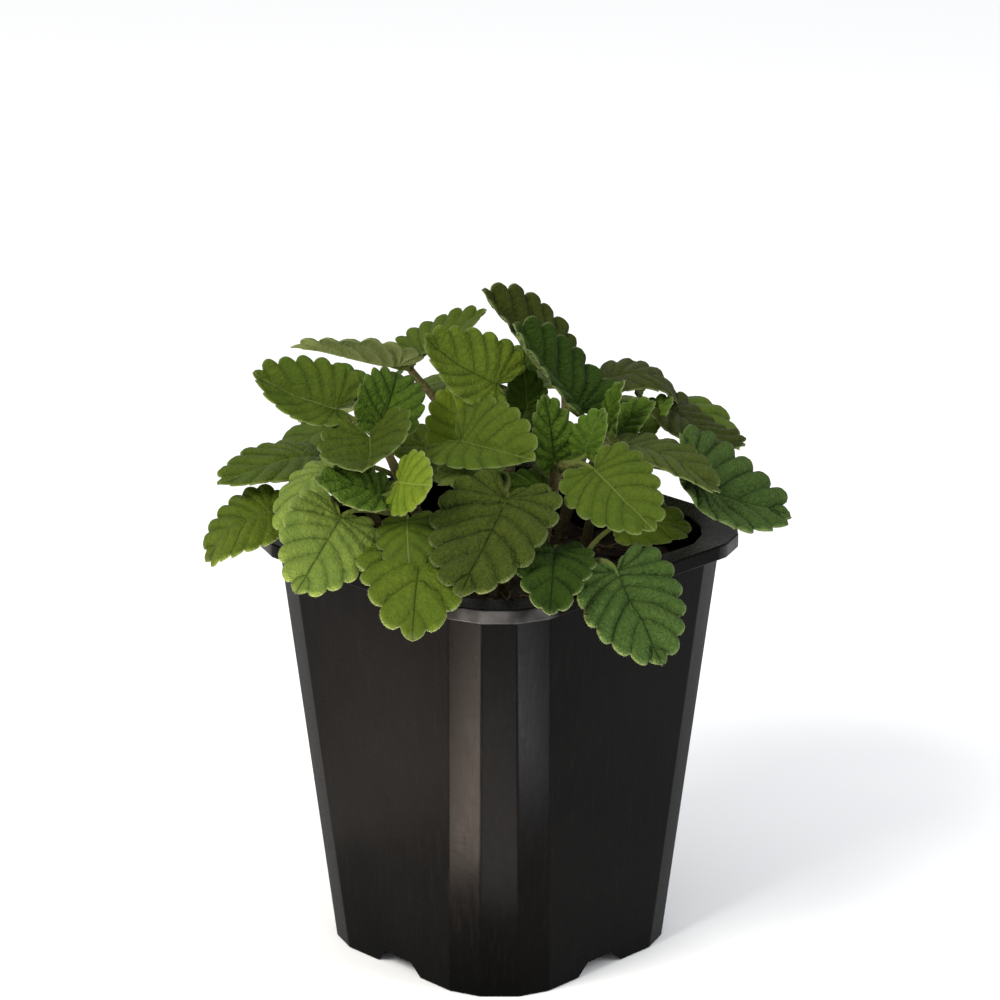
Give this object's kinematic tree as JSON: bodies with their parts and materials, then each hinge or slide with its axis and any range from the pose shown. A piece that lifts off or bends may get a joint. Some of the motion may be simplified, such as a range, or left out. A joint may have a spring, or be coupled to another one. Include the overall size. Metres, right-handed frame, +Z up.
{
  "type": "potted catnip",
  "caption": "Young catnip plant with toothed leaves on upright stems, growing in a faceted black plastic nursery pot filled with soil.",
  "frame": {"origin": "on the ground, under the middle of the pot's foot", "axes": "+Z up; the picture looks along +Y, with +X to its right; the pot's narrow facet groups face -Y, +X, +Y and -X"},
  "size_m": [0.1712, 0.1532, 0.1937],
  "materials": {
    "pot": "satin black, moulded",
    "soil": "loose composted bark",
    "leaf": "soft, quilted and finely hairy"
  },
  "bodies": {
    "root": {"pot": "pot", "soil": "soil", "leafy_stem_top_left": "leaf", "leafy_stem_top": "leaf", "leafy_stem_right": "leaf", "leafy_stem_right_back": "leaf", "leafy_stem_left": "leaf", "leafy_stem_far_left": "leaf", "leafy_stem_front_left": "leaf", "leafy_stem_front": "leaf", "leafy_stem_middle": "leaf", "leafy_stem_front_right": "leaf", "leafy_stem_low_right": "leaf", "leafy_stem_back_left": "leaf", "leafy_stem_back": "leaf", "leafy_stem_back_right": "leaf"}
  },
  "joints": []
}
